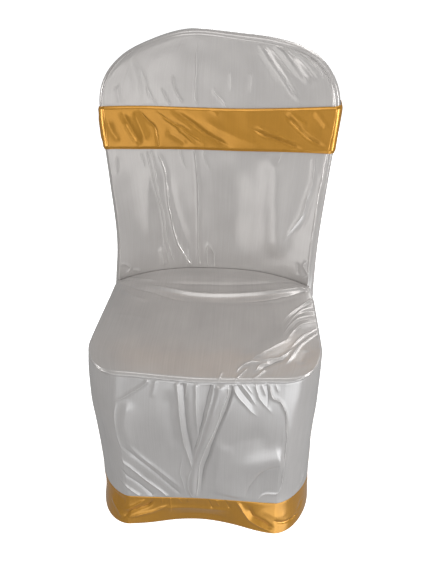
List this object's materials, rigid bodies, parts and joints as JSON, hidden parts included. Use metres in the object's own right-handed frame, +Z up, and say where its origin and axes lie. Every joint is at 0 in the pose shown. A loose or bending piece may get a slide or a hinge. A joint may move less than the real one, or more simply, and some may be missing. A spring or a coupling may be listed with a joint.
{
  "type": "chair cover with sash",
  "caption": "Fitted satin cover for an armless round-topped chair: white panels, gold band round the backrest and gold border round the hem.",
  "frame": {"origin": "on the floor, under the middle of the cover", "axes": "+Z up, -Y the way a sitter faces, +X to the right as seen by someone who looks at the front"},
  "size_m": [0.4823, 0.5092, 0.8787],
  "materials": {
    "white_satin": "lustrous silvery white satin with soft sheen",
    "gold_satin": "lustrous old-gold satin with soft sheen"
  },
  "bodies": {
    "root": {"rest_front": "white_satin", "back_panel": "white_satin", "seat": "white_satin", "skirt": "white_satin", "hem_border": "gold_satin", "sash": "gold_satin"}
  },
  "joints": []
}
